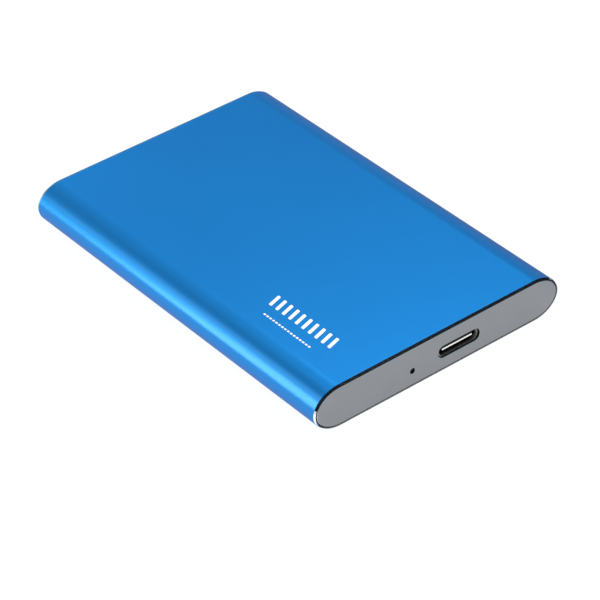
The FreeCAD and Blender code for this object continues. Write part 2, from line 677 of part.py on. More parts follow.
def build():
    """Every piece of the drive by name."""
    return {
        "sleeve": make_sleeve(),
        "front_plate": make_front_plate(),
        "rear_plate": blank_plate(REAR - PLATE_SINK, -1),
        "front_tape": make_front_tape(),
        "rear_tape": make_rear_tape(),
        "tray": make_tray(),
        "rear_retainer": make_retainer(),
        "front_screws": end_screws(FRONT + FLANGE_DEPTH, 1),
        "rear_screws": end_screws(REAR - FLANGE_DEPTH, -1),
        "bridge_board": make_board(),
        "port_shell": make_port_shell(),
        "port_tongue": make_port_tongue(),
        "port_contacts": Part.makeCompound(contact_row(1) + contact_row(-1)),
        "port_guard": make_port_guard(),
        "status_lamp": make_lamp(),
        "light_rod": make_light_rod(),
        "bridge_chip": chip(BRIDGE_X, CIRCUIT_Y, BOARD_TOP, BRIDGE_SIZE, BRIDGE_SIZE, BRIDGE_T),
        "firmware_chip": chip(FIRMWARE_X, CIRCUIT_Y, BOARD_TOP, FIRMWARE_W, FIRMWARE_D, FIRMWARE_T),
        "crystal": chip(CRYSTAL_X, CIRCUIT_Y, BOARD_TOP, CRYSTAL_W, CRYSTAL_D, CRYSTAL_T),
        "power_coil": make_coil(),
        "capacitors": make_capacitors(),
        "card_socket": make_socket(),
        "socket_tails": make_socket_tails(),
        "flash_card": make_card(),
        "card_standoff": make_standoff(),
        "card_screw": make_card_screw(),
        "card_controller": chip(0, CONTROLLER_Y, CARD_TOP, CONTROLLER_SIZE, CONTROLLER_SIZE, CARD_CHIP_T),
        "flash_package": make_flash(),
        "heat_pad": make_pad(),
    }


os.makedirs("parts", exist_ok=True)
for name, shape in build().items():
    shape.exportStep(f"parts/{name}.step")
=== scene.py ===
import math

import bmesh
import bpy
from mathutils import Matrix, Vector


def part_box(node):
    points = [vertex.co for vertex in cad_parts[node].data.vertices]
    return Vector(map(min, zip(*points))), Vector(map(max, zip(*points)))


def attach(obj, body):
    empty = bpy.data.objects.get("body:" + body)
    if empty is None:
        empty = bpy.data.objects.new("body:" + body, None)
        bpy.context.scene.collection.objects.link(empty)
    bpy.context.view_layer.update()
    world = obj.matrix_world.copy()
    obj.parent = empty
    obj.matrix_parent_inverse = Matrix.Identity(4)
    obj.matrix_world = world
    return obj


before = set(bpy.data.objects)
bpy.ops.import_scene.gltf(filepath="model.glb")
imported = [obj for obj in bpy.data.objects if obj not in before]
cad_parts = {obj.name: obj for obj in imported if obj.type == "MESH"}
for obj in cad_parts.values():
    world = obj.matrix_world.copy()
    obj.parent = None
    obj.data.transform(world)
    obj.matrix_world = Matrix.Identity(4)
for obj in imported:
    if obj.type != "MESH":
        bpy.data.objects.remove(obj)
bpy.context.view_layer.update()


# Sleeve: the body of the drive, one length of thin-walled extruded aluminium with rounded sides.
# It is blasted, dyed blue and sealed. Then both ends are cut back to a narrow slope that stays bright.

MM = 0.001


def linear(code):
    """A colour given as an sRGB hex code, in the linear values that a shader takes."""
    parts = [int(code[i:i + 2], 16) / 255 for i in (1, 3, 5)]
    return [c / 12.92 if c <= 0.04045 else ((c + 0.055) / 1.055) ** 2.4 for c in parts] + [1.0]


def begin(name, constants):
    """A new material and its shader, with the values that are the same all over the surface."""
    material = bpy.data.materials.new(name)
    material.use_nodes = True
    shader = material.node_tree.nodes["Principled BSDF"]
    for socket, value in constants.items():
        shader.inputs[socket].default_value = value
    return material, shader


def add(owner, kind, settings=None, links=None):
    """Adds a node with its settings and links, and returns its first output in use."""
    tree = owner.node_tree
    node = tree.nodes.new(kind)

    def socket(name):
        return next(s for i, s in enumerate(node.inputs) if s.enabled and name in (i, s.name))

    for name, value in (settings or {}).items():
        if isinstance(name, str) and hasattr(node, name):
            setattr(node, name, value)
        else:
            socket(name).default_value = value
    for name, source in (links or {}).items():
        tree.links.new(source, socket(name))
    return next((s for s in node.outputs if s.enabled), None)


def feed(shader, patterns):
    """Joins patterns to the shader's sockets."""
    for socket, pattern in patterns.items():
        shader.id_data.links.new(pattern, shader.inputs[socket])


def dress(material, *names):
    """Gives carried-over nodes their finish."""
    for name in names:
        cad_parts[name].data.materials.clear()
        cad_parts[name].data.materials.append(material)


# Blasted, blue anodised aluminium: a satin metal under a clear oxide skin that whitens its brightest parts.
# The grains are about 0.05 mm, too fine to show, so they are drawn at 0.15 mm and only break up the gloss.
# The dye drifts a little over 14 mm and stays blue at a glancing angle. Square faces at the ends: painted
# shade.
# The slopes at the ends are cut after the dyeing, so they are bare, mirror-bright metal. The pockets for the
# end plates are milled and etched to a matt grey, which scatters light like paint.
SLOPE_FACING = 0.55
SLOPE_RANGE = 0.35
SQUARE_FACING = 0.9
SLOPE_ROUGHNESS = 0.07
POCKET_MARGIN = 0.04 * MM
BLAST_GRAIN = 0.15 * MM
GRAIN_MEAN = 0.5
DYE_DRIFT = 14 * MM
pocket_from = POCKET_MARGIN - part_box("front_plate")[1].y
blue, shader = begin("blasted_blue_anodised_aluminium", {
    "Specular Tint": linear("#50b4e4"), "Coat Weight": 0.4, "Coat Roughness": 0.19, "Coat IOR": 1.77})
place = add(blue, "ShaderNodeTexCoord").node.outputs["Object"]
normal = place.node.outputs["Normal"]
facing = add(blue, "ShaderNodeSeparateXYZ", links={"Vector": normal}).node.outputs["Y"]
endwise = add(blue, "ShaderNodeMath", {"operation": "ABSOLUTE"}, {0: facing})
cut = add(blue, "ShaderNodeMath", {"operation": "COMPARE", 1: SLOPE_FACING, 2: SLOPE_RANGE}, {0: endwise})
square = add(blue, "ShaderNodeMath", {"operation": "GREATER_THAN", 1: SQUARE_FACING}, {0: endwise})
along = add(blue, "ShaderNodeSeparateXYZ", links={"Vector": place}).node.outputs["Y"]
from_middle = add(blue, "ShaderNodeMath", {"operation": "ABSOLUTE"}, {0: along})
inner_wall = add(blue, "ShaderNodeMath", {"operation": "GREATER_THAN", 1: pocket_from}, {0: from_middle})
end_faces = add(blue, "ShaderNodeMath", {"operation": "MAXIMUM"}, {0: cut, 1: square})
pocket = add(blue, "ShaderNodeMath", {
    "operation": "SUBTRACT", "use_clamp": True}, {0: inner_wall, 1: end_faces})
metal = add(blue, "ShaderNodeMath", {"operation": "SUBTRACT", 0: 1.0}, {1: pocket})
grain = add(blue, "ShaderNodeTexNoise", {"Scale": 1 / BLAST_GRAIN, "Detail": 2.0}, {"Vector": place})
drift = add(blue, "ShaderNodeTexNoise", {"Scale": 1 / DYE_DRIFT, "Detail": 1.0}, {"Vector": place})
dye = add(blue, "ShaderNodeMix", {
    "data_type": "RGBA", "A": linear("#008bdf"), "B": linear("#0490e5")}, {"Factor": drift})
# Painted shade: the square faces at the ends, round the end plates, are near black, for the gap there.
painted_shade_rims = add(blue, "ShaderNodeMix", {
    "data_type": "RGBA", "B": linear("#0a1424")}, {"Factor": square, "A": dye})
walls = add(blue, "ShaderNodeMix", {
    "data_type": "RGBA", "B": linear("#9aa1a9")}, {"Factor": pocket, "A": painted_shade_rims})
tone = add(blue, "ShaderNodeMix", {
    "data_type": "RGBA", "B": linear("#dfe2e6")}, {"Factor": cut, "A": walls})
satin = add(blue, "ShaderNodeMapRange", {"To Min": 0.26, "To Max": 0.34}, {"Value": grain})
gloss = add(blue, "ShaderNodeMix", {
    "data_type": "FLOAT", "B": SLOPE_ROUGHNESS}, {"Factor": cut, "A": satin})
pits = add(blue, "ShaderNodeMix", {"data_type": "FLOAT", "B": GRAIN_MEAN}, {"Factor": cut, "A": grain})
bump = add(blue, "ShaderNodeBump", {"Strength": 0.3, "Distance": 0.003 * MM}, {"Height": pits})
feed(shader, {"Base Color": tone, "Metallic": metal, "Roughness": gloss, "Normal": bump})
dress(blue, "sleeve")


# Tray and rear retainer: the tray carries the board, and its flange closes the front of the sleeve.
# The retainer closes the rear. Both are black injection mouldings, held by screws into the sleeve's ribs.

# Moulded black polycarbonate and ABS: a dull surface with the grain of a spark-eroded mould, about 0.25 mm,
# and faint flow marks some 6 mm apart.
MOULD_GRAIN = 0.25 * MM
FLOW_MARKS = 6 * MM
moulding, shader = begin("spark_textured_black_moulding", {"IOR": 1.57})
place = add(moulding, "ShaderNodeTexCoord").node.outputs["Object"]
grain = add(moulding, "ShaderNodeTexNoise", {"Scale": 1 / MOULD_GRAIN, "Detail": 3.0}, {"Vector": place})
flow = add(moulding, "ShaderNodeTexNoise", {"Scale": 1 / FLOW_MARKS, "Distortion": 1.0}, {"Vector": place})
tone = add(moulding, "ShaderNodeMix", {
    "data_type": "RGBA", "A": linear("#0e0f10"), "B": linear("#191a1c")}, {"Factor": flow})
dull = add(moulding, "ShaderNodeMapRange", {"To Min": 0.5, "To Max": 0.68}, {"Value": grain})
bump = add(moulding, "ShaderNodeBump", {"Strength": 0.4, "Distance": 0.012 * MM}, {"Height": grain})
feed(shader, {"Base Color": tone, "Roughness": dull, "Normal": bump})
dress(moulding, "tray", "rear_retainer")


# Bridge board and flash card: two circuit boards, routed from glass cloth and resin and lined with copper.
# The bridge board lies on the tray. The card plugs into the socket and is screwed down at its far end.

# Glass-epoxy laminate under green solder mask: the lacquer is glossy and lets the cloth's 0.5 mm weave and
# the copper lines, 0.9 mm apart, show through as paler green. The routed edges are bare and straw-coloured.
# At scale 1, a wave texture's bands are one BAND_STEP apart.
CLOTH_PITCH = 0.5 * MM
LINE_PITCH = 0.9 * MM
COPPER_AREAS = 7 * MM
COPPER_FROM = 0.4
MASKED_FACING = 0.5
BAND_STEP = math.pi / 10
laminate, shader = begin("green_masked_glass_epoxy", {
    "IOR": 1.55, "Coat Weight": 0.4, "Coat Roughness": 0.15})
place = add(laminate, "ShaderNodeTexCoord").node.outputs["Object"]
normal = place.node.outputs["Normal"]
facing = add(laminate, "ShaderNodeSeparateXYZ", links={"Vector": normal}).node.outputs["Z"]
upward = add(laminate, "ShaderNodeMath", {"operation": "ABSOLUTE"}, {0: facing})
masked = add(laminate, "ShaderNodeMath", {"operation": "GREATER_THAN", 1: MASKED_FACING}, {0: upward})
warp = add(laminate, "ShaderNodeTexWave", {
    "bands_direction": "X", "Scale": BAND_STEP / CLOTH_PITCH}, {"Vector": place}).node.outputs["Fac"]
weft = add(laminate, "ShaderNodeTexWave", {
    "bands_direction": "Y", "Scale": BAND_STEP / CLOTH_PITCH}, {"Vector": place}).node.outputs["Fac"]
cloth = add(laminate, "ShaderNodeMath", {"operation": "MULTIPLY"}, {0: warp, 1: weft})
lines = add(laminate, "ShaderNodeTexWave", {
    "bands_direction": "X", "Scale": BAND_STEP / LINE_PITCH}, {"Vector": place}).node.outputs["Fac"]
areas = add(laminate, "ShaderNodeTexNoise", {"Scale": 1 / COPPER_AREAS, "Detail": 0.0}, {"Vector": place})
routed = add(laminate, "ShaderNodeMath", {"operation": "MULTIPLY"}, {0: lines, 1: areas})
copper = add(laminate, "ShaderNodeMath", {"operation": "GREATER_THAN", 1: COPPER_FROM}, {0: routed})
resin = add(laminate, "ShaderNodeMix", {
    "data_type": "RGBA", "A": linear("#0b4a2b"), "B": linear("#10552f")}, {"Factor": cloth})
mask = add(laminate, "ShaderNodeMix", {
    "data_type": "RGBA", "B": linear("#1c7440")}, {"Factor": copper, "A": resin})
tone = add(laminate, "ShaderNodeMix", {
    "data_type": "RGBA", "A": linear("#b9a86a")}, {"Factor": masked, "B": mask})
gloss = add(laminate, "ShaderNodeMapRange", {"To Min": 0.75, "To Max": 0.35}, {"Value": masked})
bump = add(laminate, "ShaderNodeBump", {"Strength": 0.5, "Distance": 0.02 * MM}, {"Height": copper})
feed(shader, {"Base Color": tone, "Roughness": gloss, "Normal": bump})
dress(laminate, "bridge_board", "flash_card")


# Port shell: the oval tube of the data port, drawn from thin stainless steel and nickel plated.
# Its feet are soldered through the board, and its mouth stands just behind the slot in the front plate.

# Nickel plated, drawn steel: a rather dull plate that scatters some light at the mouth. Inward from the mouth
# it is
# painted near black within a millimetre: painted shade. Fine draw lines, 0.1 mm apart, run into the port.
DRAW_LINES = 0.1 * MM
DRAW_LENGTH = 3 * MM
SHADE_DEPTH = 0.9 * MM
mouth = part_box("port_shell")[0].y
shell_steel, shader = begin("drawn_nickel_plated_steel", {"Metallic": 0.75})
place = add(shell_steel, "ShaderNodeTexCoord").node.outputs["Object"]
drawn = add(shell_steel, "ShaderNodeMapping", {
    "Scale": (1 / DRAW_LINES, 1 / DRAW_LENGTH, 1 / DRAW_LINES)}, {"Vector": place})
streaks = add(shell_steel, "ShaderNodeTexNoise", {"Scale": 1.0, "Detail": 2.0}, {"Vector": drawn})
nickel = add(shell_steel, "ShaderNodeMix", {
    "data_type": "RGBA", "A": linear("#8f8e8b"), "B": linear("#a3a29f")}, {"Factor": streaks})
along = add(shell_steel, "ShaderNodeSeparateXYZ", links={"Vector": place}).node.outputs["Y"]
# Painted shade: the nickel's colour darkens to near black over the first millimetre inside the mouth.
painted_depth_shade = add(shell_steel, "ShaderNodeMapRange", {
    "interpolation_type": "SMOOTHSTEP",
    "From Min": mouth, "From Max": mouth + SHADE_DEPTH}, {"Value": along})
tone = add(shell_steel, "ShaderNodeMix", {
    "data_type": "RGBA", "B": linear("#161514")}, {"Factor": painted_depth_shade, "A": nickel})
gloss = add(shell_steel, "ShaderNodeMapRange", {"To Min": 0.4, "To Max": 0.55}, {"Value": streaks})
feed(shader, {"Base Color": tone, "Roughness": gloss})
dress(shell_steel, "port_shell")


# Port tongue: the blade in the middle of the port that the contacts lie on, seen as a pale bar in the slot.
# It is moulded in black around the contacts. Its tip's front face is painted off-white: a painted highlight.

# Moulded liquid crystal polymer: a dull black body, its tip's front face painted chalky off-white as a
# highlight.
# Short glass fibres, about 0.2 mm long, show as faint flecks.
FIBRE = 0.2 * MM
TIP_FACING = -0.9
TIP_DEPTH = 0.1 * MM
tip_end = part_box("port_tongue")[0].y + TIP_DEPTH
insulator, shader = begin("black_insulator_painted_at_tip", {"IOR": 1.6})
place = add(insulator, "ShaderNodeTexCoord").node.outputs["Object"]
normal = place.node.outputs["Normal"]
facing = add(insulator, "ShaderNodeSeparateXYZ", links={"Vector": normal}).node.outputs["Y"]
along = add(insulator, "ShaderNodeSeparateXYZ", links={"Vector": place}).node.outputs["Y"]
frontal = add(insulator, "ShaderNodeMath", {"operation": "LESS_THAN", 1: TIP_FACING}, {0: facing})
foremost = add(insulator, "ShaderNodeMath", {"operation": "LESS_THAN", 1: tip_end}, {0: along})
tip = add(insulator, "ShaderNodeMath", {"operation": "MULTIPLY"}, {0: frontal, 1: foremost})
flecks = add(insulator, "ShaderNodeTexNoise", {"Scale": 1 / FIBRE, "Detail": 2.0}, {"Vector": place})
# Painted highlight: the front face of the tip is off-white, for the bright bar seen in the slot.
tip_highlight_paint = add(insulator, "ShaderNodeMix", {
    "data_type": "RGBA", "A": linear("#f4f3ef"), "B": linear("#fdfcfa")}, {"Factor": flecks})
body = add(insulator, "ShaderNodeMix", {
    "data_type": "RGBA", "A": linear("#060607"), "B": linear("#101011")}, {"Factor": flecks})
tone = add(insulator, "ShaderNodeMix", {"data_type": "RGBA"}, {"Factor": tip, "A": body, "B": tip_highlight_paint})
dull = add(insulator, "ShaderNodeMapRange", {"To Min": 0.4, "To Max": 0.55}, {"Value": flecks})
feed(shader, {"Base Color": tone, "Roughness": dull})
dress(insulator, "port_tongue")


# Contacts: twelve strips on each face of the port's tongue, and the card socket's springs with their tails.
# They are stamped from copper alloy strip, gold plated and set in the grooves of their insulators.

# Gold plate over nickel: a soft yellow metal, with the strip's 0.06 mm rolling lines drawn at 0.2 mm to show.
ROLLING_LINES = 0.2 * MM
ROLLING_LENGTH = 2 * MM
gold, shader = begin("gold_plated_stamped_strip", {"Metallic": 1.0})
place = add(gold, "ShaderNodeTexCoord").node.outputs["Object"]
rolled = add(gold, "ShaderNodeMapping", {
    "Scale": (1 / ROLLING_LINES, 1 / ROLLING_LENGTH, 1 / ROLLING_LINES)}, {"Vector": place})
streaks = add(gold, "ShaderNodeTexNoise", {"Scale": 1.0, "Detail": 1.0}, {"Vector": rolled})
tone = add(gold, "ShaderNodeMix", {
    "data_type": "RGBA", "A": linear("#d0a548"), "B": linear("#e2bb62")}, {"Factor": streaks})
gloss = add(gold, "ShaderNodeMapRange", {"To Min": 0.2, "To Max": 0.32}, {"Value": streaks})
feed(shader, {"Base Color": tone, "Roughness": gloss})
dress(gold, "port_contacts", "socket_tails")


# Chips: the bridge chip, its memory, the port's surge guard, and the card's controller and flash package.
# Each is a slip of silicon moulded into black resin and soldered to its board.

# Transfer-moulded epoxy: nearly black and matt. Its 0.05 mm grains of silica are drawn at 0.12 mm to show.
FILLER = 0.12 * MM
epoxy, shader = begin("transfer_moulded_black_epoxy", {"IOR": 1.55})
place = add(epoxy, "ShaderNodeTexCoord").node.outputs["Object"]
specks = add(epoxy, "ShaderNodeTexVoronoi", {"Scale": 1 / FILLER}, {"Vector": place})
tone = add(epoxy, "ShaderNodeMix", {
    "data_type": "RGBA", "A": linear("#151516"), "B": linear("#222325")}, {"Factor": specks})
dull = add(epoxy, "ShaderNodeMapRange", {"To Min": 0.55, "To Max": 0.7}, {"Value": specks})
bump = add(epoxy, "ShaderNodeBump", {"Strength": 0.2, "Distance": 0.005 * MM}, {"Height": specks})
feed(shader, {"Base Color": tone, "Roughness": dull, "Normal": bump})
dress(epoxy, "bridge_chip", "firmware_chip", "port_guard", "card_controller", "flash_package")


# Crystal: the timing crystal of the bridge chip, in a small sealed can.
# The lid is stamped from rolled nickel alloy and welded on.

# Rolled nickel alloy: a bright grey metal with rolling lines, 0.15 mm apart, across the lid.
LID_LINES = 0.15 * MM
LID_LENGTH = 4 * MM
lid, shader = begin("rolled_nickel_lid", {"Metallic": 1.0})
place = add(lid, "ShaderNodeTexCoord").node.outputs["Object"]
rolled = add(lid, "ShaderNodeMapping", {
    "Scale": (1 / LID_LENGTH, 1 / LID_LINES, 1 / LID_LINES)}, {"Vector": place})
streaks = add(lid, "ShaderNodeTexNoise", {"Scale": 1.0, "Detail": 2.0}, {"Vector": rolled})
tone = add(lid, "ShaderNodeMix", {
    "data_type": "RGBA", "A": linear("#b6b4ae"), "B": linear("#cfcdc8")}, {"Factor": streaks})
gloss = add(lid, "ShaderNodeMapRange", {"To Min": 0.22, "To Max": 0.36}, {"Value": streaks})
feed(shader, {"Base Color": tone, "Roughness": gloss})
dress(lid, "crystal")


# Power coil: the choke of the board's supply, a winding inside a pressed block.
# The block is iron powder and resin, pressed and baked.

# Pressed iron powder: a dark grey, slightly metallic surface of grains about 0.15 mm across.
POWDER_GRAIN = 0.15 * MM
powder, shader = begin("pressed_iron_powder", {"Metallic": 0.4})
place = add(powder, "ShaderNodeTexCoord").node.outputs["Object"]
grains = add(powder, "ShaderNodeTexVoronoi", {"Scale": 1 / POWDER_GRAIN}, {"Vector": place})
tone = add(powder, "ShaderNodeMix", {
    "data_type": "RGBA", "A": linear("#4b4c4f"), "B": linear("#333437")}, {"Factor": grains})
dull = add(powder, "ShaderNodeMapRange", {"To Min": 0.45, "To Max": 0.65}, {"Value": grains})
bump = add(powder, "ShaderNodeBump", {"Strength": 0.5, "Distance": 0.01 * MM}, {"Height": grains})
feed(shader, {"Base Color": tone, "Roughness": dull, "Normal": bump})
dress(powder, "power_coil")


# Capacitors: two rows of four small blocks that steady the bridge chip's supply, soldered on by their ends.
# They are stacked ceramic sheets, fired together and dipped in tin at both ends.

# Fired ceramic with tinned ends: a dull tan body with a grain of about 0.1 mm, between two grey metal caps.
CERAMIC_GRAIN = 0.1 * MM
BODY_LENGTH = 1.6 * MM
CAP_LENGTH = 0.35 * MM
low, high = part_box("capacitors")
row_middle = (low.y + high.y) / 2
row_offset = (high.y - low.y - BODY_LENGTH) / 2
ceramic, shader = begin("fired_ceramic_with_tinned_ends", {"IOR": 1.6})
place = add(ceramic, "ShaderNodeTexCoord").node.outputs["Object"]
along = add(ceramic, "ShaderNodeSeparateXYZ", links={"Vector": place}).node.outputs["Y"]
from_middle = add(ceramic, "ShaderNodeMath", {"operation": "SUBTRACT", 1: row_middle}, {0: along})
either_row = add(ceramic, "ShaderNodeMath", {"operation": "ABSOLUTE"}, {0: from_middle})
from_body = add(ceramic, "ShaderNodeMath", {"operation": "SUBTRACT", 1: row_offset}, {0: either_row})
endwise = add(ceramic, "ShaderNodeMath", {"operation": "ABSOLUTE"}, {0: from_body})
tinned = add(ceramic, "ShaderNodeMath", {
    "operation": "GREATER_THAN", 1: BODY_LENGTH / 2 - CAP_LENGTH}, {0: endwise})
grain = add(ceramic, "ShaderNodeTexNoise", {"Scale": 1 / CERAMIC_GRAIN}, {"Vector": place})
fired = add(ceramic, "ShaderNodeMix", {
    "data_type": "RGBA", "A": linear("#a48560"), "B": linear("#b6966f")}, {"Factor": grain})
tone = add(ceramic, "ShaderNodeMix", {
    "data_type": "RGBA", "B": linear("#c4c4c2")}, {"Factor": tinned, "A": fired})
gloss = add(ceramic, "ShaderNodeMapRange", {"To Min": 0.6, "To Max": 0.35}, {"Value": tinned})
feed(shader, {"Base Color": tone, "Metallic": tinned, "Roughness": gloss})
dress(ceramic, "capacitors")


# Status lamp: the small light source at the front of the board, behind the light rod.
# A lamp die is potted in a block of clear resin with a yellowish tint.

# Cast resin: smooth and see-through, with a cloud of phosphor dust, 0.3 mm across, that tints it.
PHOSPHOR = 0.3 * MM
lamp_resin, shader = begin("phosphor_filled_clear_resin", {"IOR": 1.5, "Transmission Weight": 0.4})
place = add(lamp_resin, "ShaderNodeTexCoord").node.outputs["Object"]
cloud = add(lamp_resin, "ShaderNodeTexNoise", {"Scale": 1 / PHOSPHOR, "Detail": 1.0}, {"Vector": place})
tone = add(lamp_resin, "ShaderNodeMix", {
    "data_type": "RGBA", "A": linear("#f3efcf"), "B": linear("#ece39a")}, {"Factor": cloud})
gloss = add(lamp_resin, "ShaderNodeMapRange", {"To Min": 0.15, "To Max": 0.25}, {"Value": cloud})
feed(shader, {"Base Color": tone, "Roughness": gloss})
dress(lamp_resin, "status_lamp")


# Light rod: the guide that brings the lamp's light to the pinhole in the front plate.
# It is moulded from smoked plastic and stands on the board by its foot. While the lamp is off it looks black.

# Smoked polycarbonate: smooth and nearly black, with a faint swirl, 0.4 mm wide, where the dye met the melt.
SWIRL = 0.4 * MM
smoked, shader = begin("moulded_smoked_polycarbonate", {"IOR": 1.58, "Specular IOR Level": 0.1})
place = add(smoked, "ShaderNodeTexCoord").node.outputs["Object"]
swirl = add(smoked, "ShaderNodeTexNoise", {"Scale": 1 / SWIRL, "Distortion": 1.5}, {"Vector": place})
tone = add(smoked, "ShaderNodeMix", {
    "data_type": "RGBA", "A": linear("#030304"), "B": linear("#0a0a0c")}, {"Factor": swirl})
gloss = add(smoked, "ShaderNodeMapRange", {"To Min": 0.3, "To Max": 0.42}, {"Value": swirl})
feed(shader, {"Base Color": tone, "Roughness": gloss})
dress(smoked, "light_rod")


# Card socket: the slotted block that the flash card plugs into, soldered to the bridge board by its tails.
# It is injection moulded in black from the same kind of insulator as the port's tongue.

# Moulded black liquid crystal polymer: smoother than the tray, with glass fibres that lie along the socket
# as streaks about 0.15 mm wide and 1 mm long.
SOCKET_FIBRE = 0.15 * MM
SOCKET_STREAK = 1 * MM
socket_black, shader = begin("moulded_black_insulator", {"IOR": 1.6})
place = add(socket_black, "ShaderNodeTexCoord").node.outputs["Object"]
lengthwise = add(socket_black, "ShaderNodeMapping", {
    "Scale": (1 / SOCKET_STREAK, 1 / SOCKET_FIBRE, 1 / SOCKET_FIBRE)}, {"Vector": place})
fibres = add(socket_black, "ShaderNodeTexNoise", {"Scale": 1.0, "Detail": 2.0}, {"Vector": lengthwise})
tone = add(socket_black, "ShaderNodeMix", {
    "data_type": "RGBA", "A": linear("#0c0c0d"), "B": linear("#1b1b1d")}, {"Factor": fibres})
dull = add(socket_black, "ShaderNodeMapRange", {"To Min": 0.38, "To Max": 0.52}, {"Value": fibres})
feed(shader, {"Base Color": tone, "Roughness": dull})
dress(socket_black, "card_socket")


# Standoff: the threaded post that the far end of the flash card sits on, soldered into the bridge board.
# It is turned from brass bar.

# Turned brass: a warm yellow metal with the tool's rings, 0.1 mm apart up the post.
TURNING_PITCH = 0.1 * MM
brass, shader = begin("turned_brass", {"Metallic": 1.0})
place = add(brass, "ShaderNodeTexCoord").node.outputs["Object"]
rings = add(brass, "ShaderNodeTexWave", {
    "bands_direction": "Z", "Scale": BAND_STEP / TURNING_PITCH,
    "Distortion": 0.5}, {"Vector": place}).node.outputs["Fac"]
tone = add(brass, "ShaderNodeMix", {
    "data_type": "RGBA", "A": linear("#b9924a"), "B": linear("#cfab62")}, {"Factor": rings})
gloss = add(brass, "ShaderNodeMapRange", {"To Min": 0.22, "To Max": 0.34}, {"Value": rings})
bump = add(brass, "ShaderNodeBump", {"Strength": 0.3, "Distance": 0.004 * MM}, {"Height": rings})
feed(shader, {"Base Color": tone, "Roughness": gloss, "Normal": bump})
dress(brass, "card_standoff")


# Screws: one holds the flash card, and two at each end hold the tray and the retainer to the sleeve.
# They are cold headed and thread rolled from steel wire, then zinc plated.

# Zinc plated steel: a blue-grey metal with a soft, slightly cloudy shine in patches about 0.5 mm across.
ZINC_CLOUD = 0.5 * MM
zinc, shader = begin("zinc_plated_steel", {"Metallic": 1.0})
place = add(zinc, "ShaderNodeTexCoord").node.outputs["Object"]
cloud = add(zinc, "ShaderNodeTexNoise", {"Scale": 1 / ZINC_CLOUD, "Detail": 3.0}, {"Vector": place})
tone = add(zinc, "ShaderNodeMix", {
    "data_type": "RGBA", "A": linear("#a3a7ad"), "B": linear("#bcc0c4")}, {"Factor": cloud})
gloss = add(zinc, "ShaderNodeMapRange", {"To Min": 0.26, "To Max": 0.42}, {"Value": cloud})
feed(shader, {"Base Color": tone, "Roughness": gloss})
dress(zinc, "card_screw", "front_screws", "rear_screws")


# Heat pad: the soft pad that leads heat from the card's chips to the sleeve.
# It is cut from a sheet of silicone filled with ceramic powder, and squeezed in as the drive is closed.

# Filled silicone: matt grey-blue like putty, speckled with filler about 0.2 mm across.
PAD_SPECK = 0.2 * MM
putty, shader = begin("ceramic_filled_silicone", {"IOR": 1.43})
place = add(putty, "ShaderNodeTexCoord").node.outputs["Object"]
specks = add(putty, "ShaderNodeTexVoronoi", {"Scale": 1 / PAD_SPECK}, {"Vector": place})
tone = add(putty, "ShaderNodeMix", {
    "data_type": "RGBA", "A": linear("#9aa5b0"), "B": linear("#828e9b")}, {"Factor": specks})
dull = add(putty, "ShaderNodeMapRange", {"To Min": 0.75, "To Max": 0.9}, {"Value": specks})
bump = add(putty, "ShaderNodeBump", {"Strength": 0.4, "Distance": 0.015 * MM}, {"Height": specks})
feed(shader, {"Base Color": tone, "Roughness": dull, "Normal": bump})
dress(putty, "heat_pad")


# Tapes: the sticky sheets between the end plates and the mouldings, cut to the plates' outline.
# They are thin acrylic foam, sticky on both faces.

# Acrylic foam: dark grey and matt, with closed cells about 0.2 mm across.
FOAM_CELL = 0.2 * MM
foam, shader = begin("dark_acrylic_foam", {"IOR": 1.47})
place = add(foam, "ShaderNodeTexCoord").node.outputs["Object"]
cells = add(foam, "ShaderNodeTexVoronoi", {"Scale": 1 / FOAM_CELL}, {"Vector": place})
tone = add(foam, "ShaderNodeMix", {
    "data_type": "RGBA", "A": linear("#161617"), "B": linear("#252526")}, {"Factor": cells})
dull = add(foam, "ShaderNodeMapRange", {"To Min": 0.7, "To Max": 0.9}, {"Value": cells})
bump = add(foam, "ShaderNodeBump", {"Strength": 0.4, "Distance": 0.01 * MM}, {"Height": cells})
feed(shader, {"Base Color": tone, "Roughness": dull, "Normal": bump})
dress(foam, "front_tape", "rear_tape")


# End plates: the covers in the two ends of the sleeve, sunk a little below its edge and stuck to the tapes.
# They are cut from aluminium sheet, blasted and anodised grey. The front one has the slot and the pinhole.

# Blasted, grey anodised aluminium: a satin grey with a cool cast. Its 0.05 mm grains are drawn at 0.2 mm.
# The broken edges round the plate and its holes were cut after blasting, so they are paler and smoother.
# The punched walls of the plate and its holes are painted dark grey: painted shade.
PLATE_GRAIN = 0.2 * MM
PLATE_DRIFT = 5 * MM
WALL_FACING = 0.2
FLAT_FACING = 0.95
EDGE_ROUGHNESS = 0.25
grey, shader = begin("blasted_grey_anodised_aluminium", {"Metallic": 1.0})
place = add(grey, "ShaderNodeTexCoord").node.outputs["Object"]
normal = place.node.outputs["Normal"]
facing = add(grey, "ShaderNodeSeparateXYZ", links={"Vector": normal}).node.outputs["Y"]
endwise = add(grey, "ShaderNodeMath", {"operation": "ABSOLUTE"}, {0: facing})
sloped = add(grey, "ShaderNodeMath", {"operation": "GREATER_THAN", 1: WALL_FACING}, {0: endwise})
not_flat = add(grey, "ShaderNodeMath", {"operation": "LESS_THAN", 1: FLAT_FACING}, {0: endwise})
broken = add(grey, "ShaderNodeMath", {"operation": "MULTIPLY"}, {0: sloped, 1: not_flat})
grain = add(grey, "ShaderNodeTexNoise", {"Scale": 1 / PLATE_GRAIN, "Detail": 2.0}, {"Vector": place})
drift = add(grey, "ShaderNodeTexNoise", {"Scale": 1 / PLATE_DRIFT, "Detail": 1.0}, {"Vector": place})
dye = add(grey, "ShaderNodeMix", {
    "data_type": "RGBA", "A": linear("#9fa3aa"), "B": linear("#a5a7ab")}, {"Factor": drift})
faces = add(grey, "ShaderNodeMix", {
    "data_type": "RGBA", "B": linear("#c9ced4")}, {"Factor": broken, "A": dye})
